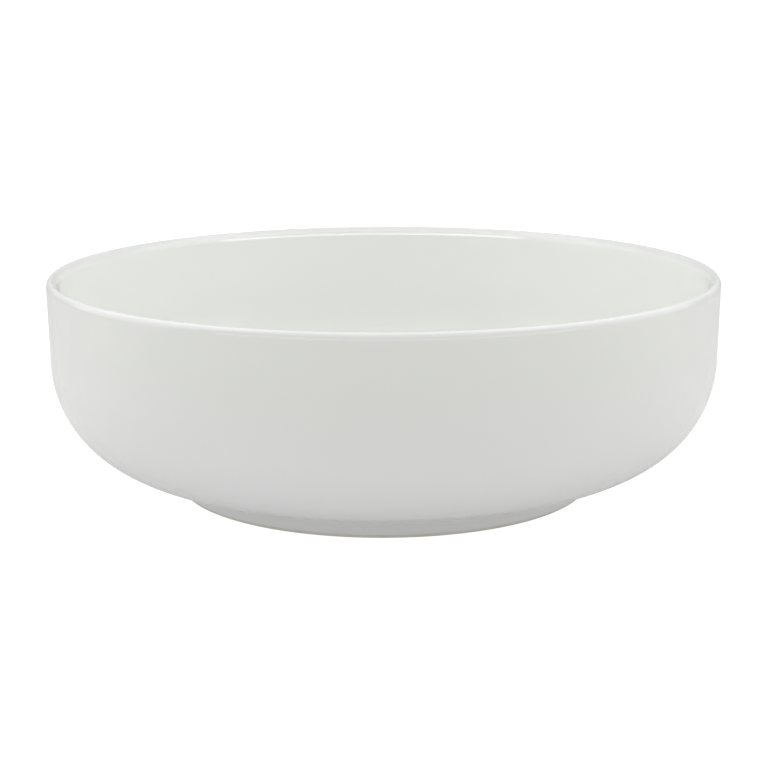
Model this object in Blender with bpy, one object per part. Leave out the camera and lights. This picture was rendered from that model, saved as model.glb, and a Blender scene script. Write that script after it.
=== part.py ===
"""Porcelain serving bowl: a fired clay body with its foot ring, and the two areas of glaze on it.

Metres, +Z up. The bowl stands on z = 0 and its axis of symmetry is the Z axis.
Every outline lies in the half plane x = radius, y = height, and is turned about Z.
An outline is a list of (point, outward normal) pairs, so a layer under it is found by moving
each point against its normal.
"""
import math

import bmesh
import bpy
from mathutils import Vector

# Wall, lip and floor
RIM_RADIUS = 0.1250          # outside of the wall at the lip
HEIGHT = 0.0810
WALL = 0.0040                # wall thickness, glaze included
LIP_RISE = 0.0026            # height of the lip's rounded outer side
LIP_REACH = 0.0018           # width of that side, from the wall to the top of the lip
LIP_CROWN = 0.0008           # rounding between the top and the slope inside it
LIP_SLOPE = math.radians(45)             # slope of the lip's top, down into the bowl
LIP_TURN = 0.0017            # rounding between that slope and the bevel below it
LIP_BEVEL = math.radians(83)             # slope of the narrow bevel
LIP_BEVEL_LENGTH = 0.0009
LIP_EDGE = 0.0007            # rounding between the bevel and the inside of the wall
WALL_LEAN = math.radians(1.2)            # the wall opens outwards by this much
WALL_BASE = 0.0500           # height where the straight wall meets the shoulder
SHOULDER_RADIUS = 0.0415
SHOULDER_SLOPE = math.radians(24)        # slope of the outside where shoulder and belly meet
BELLY_RADIUS = 0.0900
FLOOR_SLOPE = math.radians(25)           # slope of the inside where shoulder and floor arc meet
FLOOR_ARC_RADIUS = 0.0700    # inside arc between the shoulder and the flat floor

# Foot ring, and the recess under the floor that it surrounds
FOOT_RADIUS = 0.0780         # outside of the foot ring
FOOT_COVE = 0.0040           # concave radius between the foot ring and the belly
FOOT_WIDTH = 0.0050          # thickness of the foot ring at the table
FOOT_CORNER = 0.0009         # rounding of its two lower corners
FOOT_LEAN = math.radians(12)             # lean of its inner side
WELL_HEIGHT = 0.0054         # height of the recess
WELL_COVE = 0.0025

# Glaze
GLAZE = 0.0003               # thickness of the glass
GAP = 0.0002                 # clearance between the clay and the glass
DRY_HEIGHT = 0.0014          # the glass stops this far above the table

SEGMENTS = 64                # facets round the axis
LIP_STEPS = 3                # facets up the outer side of the lip

BISQUE_COLOUR = (0.80, 0.78, 0.74, 1)
GLAZE_COLOUR = (0.86, 0.87, 0.84, 1)

DOWN = math.radians(-90)
OUTWARD = 0.0
UP = math.radians(90)
INWARD = math.radians(180)


def direction(angle):
    return Vector((math.cos(angle), math.sin(angle)))


def arc(centre, radius, start, end, steps):
    """Arc whose outward normal turns from start to end; a negative radius makes it concave."""
    angles = [start + (end - start) * i / steps for i in range(steps + 1)]
    return [(centre + direction(a) * radius, direction(a)) for a in angles]


def lip():
    """Lip: elliptical outer side, tight crown, slope down into the bowl and a steep bevel."""
    top = Vector((RIM_RADIUS - LIP_REACH, HEIGHT))
    centre = top - Vector((0, LIP_RISE))
    outer = []
    for i in range(LIP_STEPS):
        across, along = direction(UP * i / LIP_STEPS)
        point = centre + Vector((across * LIP_REACH, along * LIP_RISE))
        normal = Vector((across / LIP_REACH, along / LIP_RISE)).normalized()
        outer.append((point, normal))
    slope = UP + LIP_SLOPE
    bevel = UP + LIP_BEVEL
    crown = arc(top - direction(UP) * LIP_CROWN, LIP_CROWN, UP, slope, 2)
    edge = Vector((RIM_RADIUS - WALL + LIP_EDGE, 0))
    bevel_top = edge + direction(bevel) * LIP_EDGE + direction(LIP_BEVEL) * LIP_BEVEL_LENGTH
    turn = bevel_top - direction(bevel) * LIP_TURN
    slope_top = crown[-1][0] - direction(slope) * LIP_TURN
    lift = Vector((0, slope_top.y - turn.y - (slope_top.x - turn.x) * math.tan(LIP_SLOPE)))
    return (
        outer
        + crown
        + arc(turn + lift, LIP_TURN, slope, bevel, 2)
        + arc(edge + lift, LIP_EDGE, bevel, INWARD, 1)
    )


def shoulder_centre():
    """Centre of the shoulder's arcs, inside and outside, tangent to the leaning wall."""
    drop = HEIGHT - LIP_RISE - WALL_BASE
    wall_base = Vector((RIM_RADIUS - drop * math.tan(WALL_LEAN), WALL_BASE))
    return wall_base - direction(-WALL_LEAN) * SHOULDER_RADIUS


def outside():
    """Foot cove, belly and shoulder, up to the start of the straight wall."""
    shoulder = shoulder_centre()
    meet = DOWN + SHOULDER_SLOPE
    belly = shoulder - direction(meet) * (BELLY_RADIUS - SHOULDER_RADIUS)
    reach = BELLY_RADIUS + FOOT_COVE
    foot = DOWN + math.asin((FOOT_RADIUS + FOOT_COVE - belly.x) / reach)
    cove = belly + direction(foot) * reach
    return (
        arc(cove, -FOOT_COVE, OUTWARD, foot, 4)
        + arc(belly, BELLY_RADIUS, foot, meet, 3)[1:]
        + arc(shoulder, SHOULDER_RADIUS, meet, -WALL_LEAN, 8)[1:]
    )


def inside():
    """Shoulder and floor of the hollow, from the straight wall to the middle of the floor."""
    shoulder = shoulder_centre()
    inner_radius = SHOULDER_RADIUS - WALL
    meet = UP + FLOOR_SLOPE
    floor = shoulder + direction(meet) * (FLOOR_ARC_RADIUS - inner_radius)
    middle = Vector((0, floor.y - FLOOR_ARC_RADIUS))
    return (
        arc(shoulder, -inner_radius, INWARD - WALL_LEAN, meet, 7)
        + arc(floor, -FLOOR_ARC_RADIUS, meet, UP, 3)[1:]
        + [(middle, direction(UP))]
    )


def leaning_side(height):
    """Radius of the foot ring's inner side at a height."""
    return FOOT_RADIUS - FOOT_WIDTH - height * math.tan(FOOT_LEAN)


def well():
    """Underside inside the foot ring, from its middle to the glaze's edge on the ring."""
    side = INWARD + FOOT_LEAN
    ceiling = DOWN + math.radians(360)
    level = WELL_HEIGHT - WELL_COVE
    cove = Vector((leaning_side(level) - WELL_COVE / math.cos(FOOT_LEAN), level))
    return (
        [(Vector((0, WELL_HEIGHT)), direction(ceiling))]
        + arc(cove, -WELL_COVE, ceiling, side, 4)
        + [(Vector((leaning_side(DRY_HEIGHT), DRY_HEIGHT)), direction(side))]
    )


def inset(outline, depth):
    return [point - normal * depth for point, normal in outline]


def coat_outline():
    """Surface of the main glaze: foot ring, outside, lip and inside."""
    foot_edge = [(Vector((FOOT_RADIUS, DRY_HEIGHT)), direction(OUTWARD))]
    return foot_edge + outside() + lip() + inside()


def foot_base():
    """Bare underside of the foot ring, rounded at both corners and flat between them."""
    depth = GLAZE + GAP + FOOT_CORNER
    side = leaning_side(FOOT_CORNER)
    inner = side + depth / math.cos(FOOT_LEAN)
    outer = FOOT_RADIUS - depth
    turn = math.radians(360)
    corners = (
        arc(Vector((inner, FOOT_CORNER)), FOOT_CORNER, INWARD + FOOT_LEAN, DOWN + turn, 3)
        + arc(Vector((outer, FOOT_CORNER)), FOOT_CORNER, DOWN, OUTWARD, 3)
    )
    return [point for point, normal in corners]


def body_points():
    depth = GLAZE + GAP
    return inset(well()[:-1], depth) + foot_base() + inset(coat_outline()[1:], depth)


def layer_points(outline):
    """Closed outline of a layer of glass whose surface is the given outline."""
    return inset(outline, 0) + inset(outline, GLAZE)[::-1]


def turned(name, points):
    """Solid turned from a closed outline; points on the axis become poles."""
    mesh = bpy.data.meshes.new(name)
    bm = bmesh.new()
    ring = [bm.verts.new((point.x, 0, point.y)) for point in points]
    edges = [bm.edges.new(pair) for pair in zip(ring, ring[1:] + ring[:1]) if off_axis(pair)]
    bmesh.ops.spin(
        bm,
        geom=ring + edges,
        cent=(0, 0, 0),
        axis=(0, 0, 1),
        angle=math.radians(360),
        steps=SEGMENTS,
        use_merge=True,
    )
    bmesh.ops.remove_doubles(bm, verts=bm.verts[:], dist=1e-6)
    bmesh.ops.recalc_face_normals(bm, faces=bm.faces[:])
    bm.to_mesh(mesh)
    bm.free()
    mesh.shade_smooth()
    mesh.set_sharp_from_angle(angle=math.radians(40))
    piece = bpy.data.objects.new(name, mesh)
    bpy.context.collection.objects.link(piece)
    return piece


def off_axis(pair):
    return max(vert.co.x for vert in pair) > 0


def material(name, colour, roughness):
    finish = bpy.data.materials.new(name)
    finish.use_nodes = True
    shader = finish.node_tree.nodes["Principled BSDF"]
    shader.inputs["Base Color"].default_value = colour
    shader.inputs["Roughness"].default_value = roughness
    shader.inputs["Metallic"].default_value = 0
    return finish


def clear_scene():
    for old in list(bpy.data.objects):
        bpy.data.objects.remove(old)


def main():
    clear_scene()
    body = turned("porcelain_body", body_points())
    body.data.materials.append(material("bisque", BISQUE_COLOUR, 0.7))
    coat = turned("glaze_coat", layer_points(coat_outline()))
    coat.data.materials.append(material("glaze", GLAZE_COLOUR, 0.12))
    foot_well = turned("glaze_foot_well", layer_points(well()))
    foot_well.data.materials.append(material("well_glaze", GLAZE_COLOUR, 0.15))


main()
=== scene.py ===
"""Looks of the porcelain serving bowl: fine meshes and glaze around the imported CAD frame.

Metres, +Z up, the bowl's axis on Z. Outlines lie in the half plane x = radius, y = height.
An outline is a list of (point, outward normal) pairs, so a layer under it is found by moving
each point against its normal.
"""
import math

import bpy
from mathutils import Matrix, Vector


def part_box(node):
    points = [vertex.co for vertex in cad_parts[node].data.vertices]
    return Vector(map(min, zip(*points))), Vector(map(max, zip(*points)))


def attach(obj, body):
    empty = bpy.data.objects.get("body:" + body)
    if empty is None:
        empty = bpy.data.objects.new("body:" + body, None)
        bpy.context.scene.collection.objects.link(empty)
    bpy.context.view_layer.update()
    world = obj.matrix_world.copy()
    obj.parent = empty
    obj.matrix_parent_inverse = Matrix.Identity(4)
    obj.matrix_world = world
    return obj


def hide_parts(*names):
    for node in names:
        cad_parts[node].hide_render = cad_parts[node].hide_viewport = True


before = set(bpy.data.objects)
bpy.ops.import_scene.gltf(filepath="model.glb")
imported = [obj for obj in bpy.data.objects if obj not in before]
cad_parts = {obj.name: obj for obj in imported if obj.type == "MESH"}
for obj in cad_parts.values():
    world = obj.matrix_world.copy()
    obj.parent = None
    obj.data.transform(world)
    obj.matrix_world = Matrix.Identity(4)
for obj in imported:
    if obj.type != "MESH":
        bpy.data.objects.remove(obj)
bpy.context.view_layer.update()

# Glass, and the clearance between it and the clay
GLAZE = 0.0003
GAP = 0.0002

# Sizes that the frame gives
RIM_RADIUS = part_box("glaze_coat")[1].x
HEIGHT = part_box("glaze_coat")[1].z
DRY_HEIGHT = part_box("glaze_coat")[0].z       # the glaze stops this far above the table
WELL_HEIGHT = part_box("glaze_foot_well")[1].z - GLAZE

# Shape of the wall, the same as the CAD outline's
WALL = 0.0040
LIP_RISE = 0.0026
LIP_REACH = 0.0018
LIP_CROWN = 0.0008
LIP_SLOPE = math.radians(45)
LIP_TURN = 0.0017
LIP_BEVEL = math.radians(83)
LIP_BEVEL_LENGTH = 0.0009
LIP_EDGE = 0.0007
WALL_LEAN = math.radians(1.2)
WALL_BASE = 0.0500
SHOULDER_RADIUS = 0.0415
SHOULDER_SLOPE = math.radians(24)
BELLY_RADIUS = 0.0900
FLOOR_SLOPE = math.radians(25)
FLOOR_ARC_RADIUS = 0.0700
FOOT_RADIUS = 0.0780
FOOT_COVE = 0.0040
FOOT_WIDTH = 0.0050
FOOT_CORNER = 0.0009
FOOT_LEAN = math.radians(12)
WELL_COVE = 0.0025

SEGMENTS = 384               # facets round the axis

# Reflectances: fired glaze on white clay, and the bare clay. The two lip colours hold painted shade.
NEUTRAL_WHITE = (0.900, 0.900, 0.897)
OUTER_WHITE = (0.889, 0.900, 0.850)
INNER_WHITE = (0.885, 0.900, 0.870)
CLOUD_WHITE = (0.878, 0.890, 0.866)
# Painted shade: the lip is painted a little darker than the body white, and the slope inside it much
# darker
LIP_SHADED_WHITE = (0.872, 0.870, 0.864)
INNER_LIP_SHADED_GREY = (0.755, 0.755, 0.745)      # the slope inside the lip
IRON_SPECK = (0.50, 0.45, 0.38)
CLAY_PALE = (0.80, 0.77, 0.72)
CLAY_DARK = (0.74, 0.71, 0.65)
TINT_START = 0.030           # the outside is tinted from this height up
TINT_END = 0.065

# Patterns in the surfaces: how many to the metre, and how large
CLOUD_SCALE = 16
RIPPLE_SCALE = 38
RIPPLE_DEPTH = 0.0003
PEEL_SCALE = 650
PEEL_DEPTH = 0.000008
SPECK_CELLS = 45
SPECK_RADIUS = 0.00022
SPECK_SHARE = 0.10
PIT_CELLS = 70
PIT_RADIUS = 0.00035
PIT_SHARE = 0.06
PIT_DEPTH = 0.00008
GLOSS_SCALE = 30
GLOSS_RANGE = (0.07, 0.15)
GRIT_CELLS = 600
GRIT_RADIUS = 0.00035
GRIT_SHARE = 0.15
GRAIN_SCALE = 2500
GRAIN_DEPTH = 0.00005
CLAY_ROUGHNESS_SCALE = 400
CLAY_ROUGHNESS = (0.7, 0.9)

DOWN = math.radians(-90)
OUTWARD = 0.0
UP = math.radians(90)
INWARD = math.radians(180)


def direction(angle):
    return Vector((math.cos(angle), math.sin(angle)))


def arc(centre, radius, start, end, steps):
    """Arc whose outward normal turns from start to end; a negative radius makes it concave."""
    angles = [start + (end - start) * i / steps for i in range(steps + 1)]
    return [(centre + direction(a) * radius, direction(a)) for a in angles]


def run(start, end, normal, steps):
    """Points between two ends of a straight stretch, the ends left out."""
    return [(start.lerp(end, i / steps), direction(normal)) for i in range(1, steps)]


def lip(steps):
    """Lip: elliptical outer side, tight crown, slope down into the bowl and a steep bevel."""
    top = Vector((RIM_RADIUS - LIP_REACH, HEIGHT))
    centre = top - Vector((0, LIP_RISE))
    outer = []
    for i in range(steps):
        across, along = direction(UP * i / steps)
        point = centre + Vector((across * LIP_REACH, along * LIP_RISE))
        normal = Vector((across / LIP_REACH, along / LIP_RISE)).normalized()
        outer.append((point, normal))
    slope = UP + LIP_SLOPE
    bevel = UP + LIP_BEVEL
    crown = arc(top - direction(UP) * LIP_CROWN, LIP_CROWN, UP, slope, steps)
    edge = Vector((RIM_RADIUS - WALL + LIP_EDGE, 0))
    bevel_top = edge + direction(bevel) * LIP_EDGE + direction(LIP_BEVEL) * LIP_BEVEL_LENGTH
    turn = bevel_top - direction(bevel) * LIP_TURN
    slope_top = crown[-1][0] - direction(slope) * LIP_TURN
    lift = Vector((0, slope_top.y - turn.y - (slope_top.x - turn.x) * math.tan(LIP_SLOPE)))
    below = arc(turn + lift, LIP_TURN, slope, bevel, 10)
    below += arc(edge + lift, LIP_EDGE, bevel, INWARD, 4)
    return outer + crown + run(crown[-1][0], below[0][0], slope, 4) + below


def shoulder_centre():
    """Centre of the shoulder's arcs, inside and outside, tangent to the leaning wall."""
    drop = HEIGHT - LIP_RISE - WALL_BASE
    wall_base = Vector((RIM_RADIUS - drop * math.tan(WALL_LEAN), WALL_BASE))
    return wall_base - direction(-WALL_LEAN) * SHOULDER_RADIUS


def outside():
    """Foot cove, belly and shoulder, up to the start of the straight wall."""
    shoulder = shoulder_centre()
    meet = DOWN + SHOULDER_SLOPE
    belly = shoulder - direction(meet) * (BELLY_RADIUS - SHOULDER_RADIUS)
    reach = BELLY_RADIUS + FOOT_COVE
    foot = DOWN + math.asin((FOOT_RADIUS + FOOT_COVE - belly.x) / reach)
    cove = belly + direction(foot) * reach
    return (
        arc(cove, -FOOT_COVE, OUTWARD, foot, 14)
        + arc(belly, BELLY_RADIUS, foot, meet, 8)[1:]
        + arc(shoulder, SHOULDER_RADIUS, meet, -WALL_LEAN, 32)[1:]
    )


def inside():
    """Shoulder and floor of the hollow, from the straight wall to the middle of the floor."""
    shoulder = shoulder_centre()
    inner_radius = SHOULDER_RADIUS - WALL
    meet = UP + FLOOR_SLOPE
    floor = shoulder + direction(meet) * (FLOOR_ARC_RADIUS - inner_radius)
    middle = Vector((0, floor.y - FLOOR_ARC_RADIUS))
    edge = Vector((floor.x, middle.y))
    return (
        arc(shoulder, -inner_radius, INWARD - WALL_LEAN, meet, 28)
        + arc(floor, -FLOOR_ARC_RADIUS, meet, UP, 12)[1:]
        + run(edge, middle, UP, 12)
        + [(middle, direction(UP))]
    )


def leaning_side(height):
    """Radius of the foot ring's inner side at a height."""
    return FOOT_RADIUS - FOOT_WIDTH - height * math.tan(FOOT_LEAN)


def well():
    """Underside inside the foot ring, from its middle to the glaze's edge on the ring."""
    side = INWARD + FOOT_LEAN
    ceiling = DOWN + math.radians(360)
    level = WELL_HEIGHT - WELL_COVE
    cove = Vector((leaning_side(level) - WELL_COVE / math.cos(FOOT_LEAN), level))
    middle = Vector((0, WELL_HEIGHT))
    return (
        [(middle, direction(ceiling))]
        + run(middle, Vector((cove.x, WELL_HEIGHT)), ceiling, 12)
        + arc(cove, -WELL_COVE, ceiling, side, 12)
        + [(Vector((leaning_side(DRY_HEIGHT), DRY_HEIGHT)), direction(side))]
    )


def inset(outline, depth):
    return [point - normal * depth for point, normal in outline]


def coat_outline():
    """Surface of the main glaze: foot ring, outside, wall, lip and inside."""
    base = (Vector((FOOT_RADIUS, DRY_HEIGHT)), direction(OUTWARD))
    lower = outside()
    rim = lip(14)
    hollow = inside()
    return (
        [base]
        + lower
        + run(lower[-1][0], rim[0][0], -WALL_LEAN, 10)
        + rim
        + run(rim[-1][0], hollow[0][0], INWARD - WALL_LEAN, 10)
        + hollow
    )


def foot_base():
    """Bare underside of the foot ring, rounded at both corners and flat between them."""
    depth = GLAZE + GAP + FOOT_CORNER
    inner = leaning_side(FOOT_CORNER) + depth / math.cos(FOOT_LEAN)
    outer = FOOT_RADIUS - depth
    turn = math.radians(360)
    start = INWARD + FOOT_LEAN
    corners = (
        arc(Vector((inner, FOOT_CORNER)), FOOT_CORNER, start, DOWN + turn, 8)
        + arc(Vector((outer, FOOT_CORNER)), FOOT_CORNER, DOWN, OUTWARD, 8)
    )
    return [point for point, normal in corners]


def body_points():
    depth = GLAZE + GAP
    return inset(well()[:-1], depth) + foot_base() + inset(coat_outline()[1:], depth)


def layer_points(outline):
    """Closed outline of a layer of glass whose surface is the given outline."""
    return inset(outline, 0) + inset(outline, GLAZE)[::-1]


def turned(name, points):
    """Closed solid turned from a closed outline; points on the axis become poles."""
    vertices = []
    rows = []
    for point in points:
        if point.x < 1e-9:
            rows.append([len(vertices)] * SEGMENTS)
            vertices.append((0, 0, point.y))
            continue
        rows.append(list(range(len(vertices), len(vertices) + SEGMENTS)))
        for i in range(SEGMENTS):
            spoke = direction(math.radians(360) * i / SEGMENTS) * point.x
            vertices.append((spoke.x, spoke.y, point.y))
    faces = []
    for low, high in zip(rows, rows[1:] + rows[:1]):
        for i in range(SEGMENTS):
            j = (i + 1) % SEGMENTS
            corners = dict.fromkeys((low[i], low[j], high[j], high[i]))
            if len(corners) > 2:
                faces.append(list(corners))
    mesh = bpy.data.meshes.new(name)
    mesh.from_pydata(vertices, [], faces)
    mesh.validate()
    mesh.shade_smooth()
    mesh.set_sharp_from_angle(angle=math.radians(50))
    piece = bpy.data.objects.new(name, mesh)
    bpy.context.scene.collection.objects.link(piece)
    return piece


def plain(name, colour, roughness):
    finish = bpy.data.materials.new(name)
    finish.use_nodes = True
    shader = finish.node_tree.nodes["Principled BSDF"]
    shader.inputs["Base Color"].default_value = (*colour, 1)
    shader.inputs["Roughness"].default_value = roughness
    return finish


def connect(tree, socket, value):
    """Feeds a socket from another node's output, or sets it to a constant."""
    if isinstance(value, bpy.types.NodeSocket):
        tree.links.new(value, socket)
    else:
        socket.default_value = value


def add(tree, kind, inputs, **settings):
    node = tree.nodes.new("ShaderNode" + kind)
    for name, value in settings.items():
        setattr(node, name, value)
    for name, value in inputs.items():
        connect(tree, node.inputs[name], value)
    return node


def noise(tree, place, scale, detail):
    """Noise from 0 to 1 with about `scale` lumps to the metre."""
    inputs = {"Vector": place, "Scale": scale, "Detail": detail}
    return add(tree, "TexNoise", inputs).outputs["Fac"]


def spread(tree, value, low, high, from_low=0.0, to_high=1.0):
    """Maps low..high smoothly to from_low..to_high."""
    inputs = {"Value": value, "From Min": low, "From Max": high}
    inputs |= {"To Min": from_low, "To Max": to_high}
    return add(tree, "MapRange", inputs, interpolation_type="SMOOTHSTEP").outputs["Result"]


def blend(tree, factor, first, second):
    node = add(tree, "Mix", {0: factor}, data_type="RGBA")
    colours = [socket for socket in node.inputs if socket.type == "RGBA"]
    for socket, colour in zip(colours, (first, second)):
        connect(tree, socket, colour if isinstance(colour, bpy.types.NodeSocket) else (*colour, 1))
    return next(socket for socket in node.outputs if socket.type == "RGBA")


def specks(tree, place, cells, radius, share):
    """1 inside small round spots: one to a cell, `cells` to the metre, in a share of the cells."""
    cell = add(tree, "TexVoronoi", {"Vector": place, "Scale": cells})
    spot = spread(tree, cell.outputs["Distance"], radius * cells, radius * cells * 0.5)
    chosen = spread(tree, cell.outputs["Color"], 1 - share, 1 - share + 0.01)
    return add(tree, "Math", {0: spot, 1: chosen}, operation="MULTIPLY").outputs[0]


def bump(tree, height, distance, below=None):
    inputs = {"Height": height, "Distance": distance}
    if below is not None:
        inputs["Normal"] = below
    return add(tree, "Bump", inputs).outputs["Normal"]


def glaze_colour(tree, place, facing):
    """Green where the glass lies thick, painted shade on the lip (a little darker, much darker on the
    slope inside it), clouded, speckled.
    """
    inner = spread(tree, facing, 0.02, -0.01)
    height = add(tree, "SeparateXYZ", {0: place}).outputs["Z"]
    upper = spread(tree, height, TINT_START, TINT_END)
    # Painted shade: the lip band, where darker lip colours replace the glaze colour
    lip_shade_mask = spread(tree, height, HEIGHT - LIP_RISE, HEIGHT - LIP_CROWN)
    clouds = spread(tree, noise(tree, place, CLOUD_SCALE, 3), 0.35, 0.65, 0, 0.5)
    colour = blend(tree, upper, NEUTRAL_WHITE, OUTER_WHITE)
    colour = blend(tree, inner, colour, INNER_WHITE)
    colour = blend(tree, clouds, colour, CLOUD_WHITE)
    # Painted shade: a little darker on the lip's outer side, much darker on the slope inside the lip
    lip_shade_colour = blend(tree, inner, LIP_SHADED_WHITE, INNER_LIP_SHADED_GREY)
    colour = blend(tree, lip_shade_mask, colour, lip_shade_colour)
    iron = specks(tree, place, SPECK_CELLS, SPECK_RADIUS, SPECK_SHARE)
    return blend(tree, iron, colour, IRON_SPECK)


def glaze_relief(tree, place, flat):
    """Slow ripples, a fine orange peel and sparse pinholes."""
    pits = specks(tree, flat, PIT_CELLS, PIT_RADIUS, PIT_SHARE)
    ripple = bump(tree, noise(tree, place, RIPPLE_SCALE, 1), RIPPLE_DEPTH)
    peel = bump(tree, noise(tree, place, PEEL_SCALE, 2), PEEL_DEPTH, ripple)
    return bump(tree, pits, -PIT_DEPTH, peel)


def glaze(name):
    """Clear glass on white clay."""
    finish = plain(name, NEUTRAL_WHITE, 0.1)
    tree = finish.node_tree
    coordinates = add(tree, "TexCoord", {}).outputs
    place = coordinates["Object"]
    flat = add(tree, "VectorMath", {0: place, 1: (1, 1, 0)}, operation="MULTIPLY").outputs[0]
    outward = add(tree, "VectorMath", {0: flat, 1: coordinates["Normal"]}, operation="DOT_PRODUCT")
    normal = glaze_relief(tree, place, flat)
    gloss = spread(tree, noise(tree, place, GLOSS_SCALE, 4), 0.3, 0.7, *GLOSS_RANGE)
    shader = tree.nodes["Principled BSDF"]
    colour = glaze_colour(tree, place, outward.outputs["Value"])
    connect(tree, shader.inputs["Base Color"], colour)
    connect(tree, shader.inputs["Roughness"], gloss)
    connect(tree, shader.inputs["Normal"], normal)
    shader.inputs["Coat Weight"].default_value = 0.5
    shader.inputs["Coat Roughness"].default_value = 0.03
    connect(tree, shader.inputs["Coat Normal"], normal)
    return finish


def bisque(name):
    """Bare fired clay: matt, warm, finely gritty."""
    finish = plain(name, CLAY_PALE, 0.75)
    tree = finish.node_tree
    place = add(tree, "TexCoord", {}).outputs["Object"]
    clouds = spread(tree, noise(tree, place, 60, 4), 0.35, 0.65)
    grit = specks(tree, place, GRIT_CELLS, GRIT_RADIUS, GRIT_SHARE)
    colour = blend(tree, clouds, CLAY_PALE, CLAY_DARK)
    colour = blend(tree, grit, colour, IRON_SPECK)
    matt = spread(tree, noise(tree, place, CLAY_ROUGHNESS_SCALE, 2), 0.3, 0.7, *CLAY_ROUGHNESS)
    shader = tree.nodes["Principled BSDF"]
    connect(tree, shader.inputs["Base Color"], colour)
    connect(tree, shader.inputs["Roughness"], matt)
    connect(tree, shader.inputs["Normal"], bump(tree, noise(tree, place, GRAIN_SCALE, 3), GRAIN_DEPTH))
    return finish


def place(piece, node, slot, finish):
    piece.data.materials.append(finish)
    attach(piece, "root")
    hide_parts(node)


def camera():
    """Long lens, a little above the rim."""
    data = bpy.data.cameras.new("camera")
    data.lens = 87.2
    data.sensor_width = 36
    data.clip_end = 100
    eye = bpy.data.objects.new("camera", data)
    bpy.context.scene.collection.objects.link(eye)
    bpy.context.scene.camera = eye
    distance = 0.708
    pitch = math.radians(12.487)
    roll = math.radians(-0.188)
    target = Vector((0.000006, 0, 0.03735))
    back = Vector((0, -math.cos(pitch), math.sin(pitch)))
    level = Vector((1, 0, 0))
    upright = back.cross(level)
    right = level * math.cos(roll) + upright * math.sin(roll)
    up = back.cross(right)
    turn = Matrix((right, up, back)).transposed()
    eye.matrix_world = Matrix.LocRotScale(target + back * distance, turn, None)


def surface(name, vertices, faces, finish):
    """Piece of the stage, not of the bowl."""
    mesh = bpy.data.meshes.new(name)
    mesh.from_pydata(vertices, [], faces)
    piece = bpy.data.objects.new(name, mesh)
    bpy.context.scene.collection.objects.link(piece)
    piece.data.materials.append(finish)
    return piece


def polygon(name, corners, finish):
    return surface(name, corners, [tuple(range(len(corners)))], finish)


def wall(name, radius, height, finish):
    """Round wall standing on the floor, open at the top."""
    low, high = disc(radius, 0), disc(radius, height)
    count = len(low)
    faces = [(i, (i + 1) % count, (i + 1) % count + count, i + count) for i in range(count)]
    return surface(name, low + high, faces, finish)


def square(half_side, height):
    ends = ((-1, -1), (1, -1), (1, 1), (-1, 1))
    return [(x * half_side, y * half_side, height) for x, y in ends]


def disc(radius, height):
    spokes = [direction(math.radians(360) * i / SEGMENTS) * radius for i in range(SEGMENTS)]
    return [(spoke.x, spoke.y, height) for spoke in spokes]


def glowing(name, grey, glow):
    finish = plain(name, (grey, grey, grey), 0.9)
    shader = finish.node_tree.nodes["Principled BSDF"]
    shader.inputs["Emission Color"].default_value = (1, 1, 1, 1)
    shader.inputs["Emission Strength"].default_value = glow
    return finish


def stage():
    """White floor and wall that only the camera sees, and darker ones that it does not see.

    The darker ones light the bowl from below and are reflected in its glaze.
    """
    floor = polygon("floor", disc(14, 0), glowing("floor", 0.3, 0.95))
    backdrop = wall("backdrop", 14, 8, glowing("backdrop", 0.3, 0.95))
    for piece in (floor, backdrop):
        piece.visible_diffuse = False
        piece.visible_glossy = False
        piece.visible_shadow = False
    table = polygon("table", disc(0.38, -0.001), glowing("table", 0.5, 0.26))
    room = polygon("room", square(5, -0.01), glowing("room", 0.1, 0.76))
    behind = ((-5, 0.09, -0.0005), (5, 0.09, -0.0005), (5, 5, -0.0005), (-5, 5, -0.0005))
    paper = polygon("paper", behind, glowing("paper", 0.5, 0.23))
    for piece in (table, room, paper):
        piece.visible_camera = False


def softbox(name, azimuth, elevation, distance, size, radiance):
    """Rectangular light aimed at the bowl; azimuth 0 is the camera's side, 90 its right."""
    turn, rise = math.radians(azimuth), math.radians(elevation)
    level = Vector((math.sin(turn), -math.cos(turn), 0)) * math.cos(rise)
    toward = level + Vector((0, 0, math.sin(rise)))
    data = bpy.data.lights.new(name, "AREA")
    data.shape = "RECTANGLE"
    data.size, data.size_y = size
    data.energy = radiance * math.pi * size[0] * size[1]
    lamp = bpy.data.objects.new(name, data)
    bpy.context.scene.collection.objects.link(lamp)
    lamp.location = toward * distance
    lamp.rotation_euler = toward.to_track_quat("Z", "Y").to_euler()
    lamp.visible_camera = False
    return lamp


def lights():
    """Soft boxes round the bowl; the ceiling gives no reflections, the strips only reflections."""
    world = bpy.data.worlds.new("studio")
    bpy.context.scene.world = world
    world.use_nodes = True
    background = world.node_tree.nodes["Background"]
    background.inputs["Color"].default_value = (1, 1, 1, 1)
    background.inputs["Strength"].default_value = 0.54
    ceiling = softbox("ceiling", 0, 90, 0.8, (0.6, 0.6), 2.2)
    ceiling.visible_glossy = False
    for azimuth in (-35, 5, 45):
        strip = softbox(f"front{azimuth}", azimuth, 7.1, 2.5, (1.8, 0.18), 4.2)
        strip.visible_diffuse = False
    softbox("back", 180, 20, 1.2, (2.4, 0.9), 0.08)
    softbox("left", -90, 38, 0.75, (0.75, 0.95), 0.67)
    softbox("right", 90, 38, 0.75, (0.75, 0.95), 0.62)
    bpy.context.scene.view_settings.view_transform = "Standard"


place(turned("clay_body", body_points()), "porcelain_body", "bisque", bisque("bisque"))
place(turned("glaze_skin", layer_points(coat_outline())), "glaze_coat", "glaze", glaze("glaze"))
well_skin = turned("foot_well_glaze", layer_points(well()))
place(well_skin, "glaze_foot_well", "well_glaze", glaze("well_glaze"))
stage()
lights()
camera()
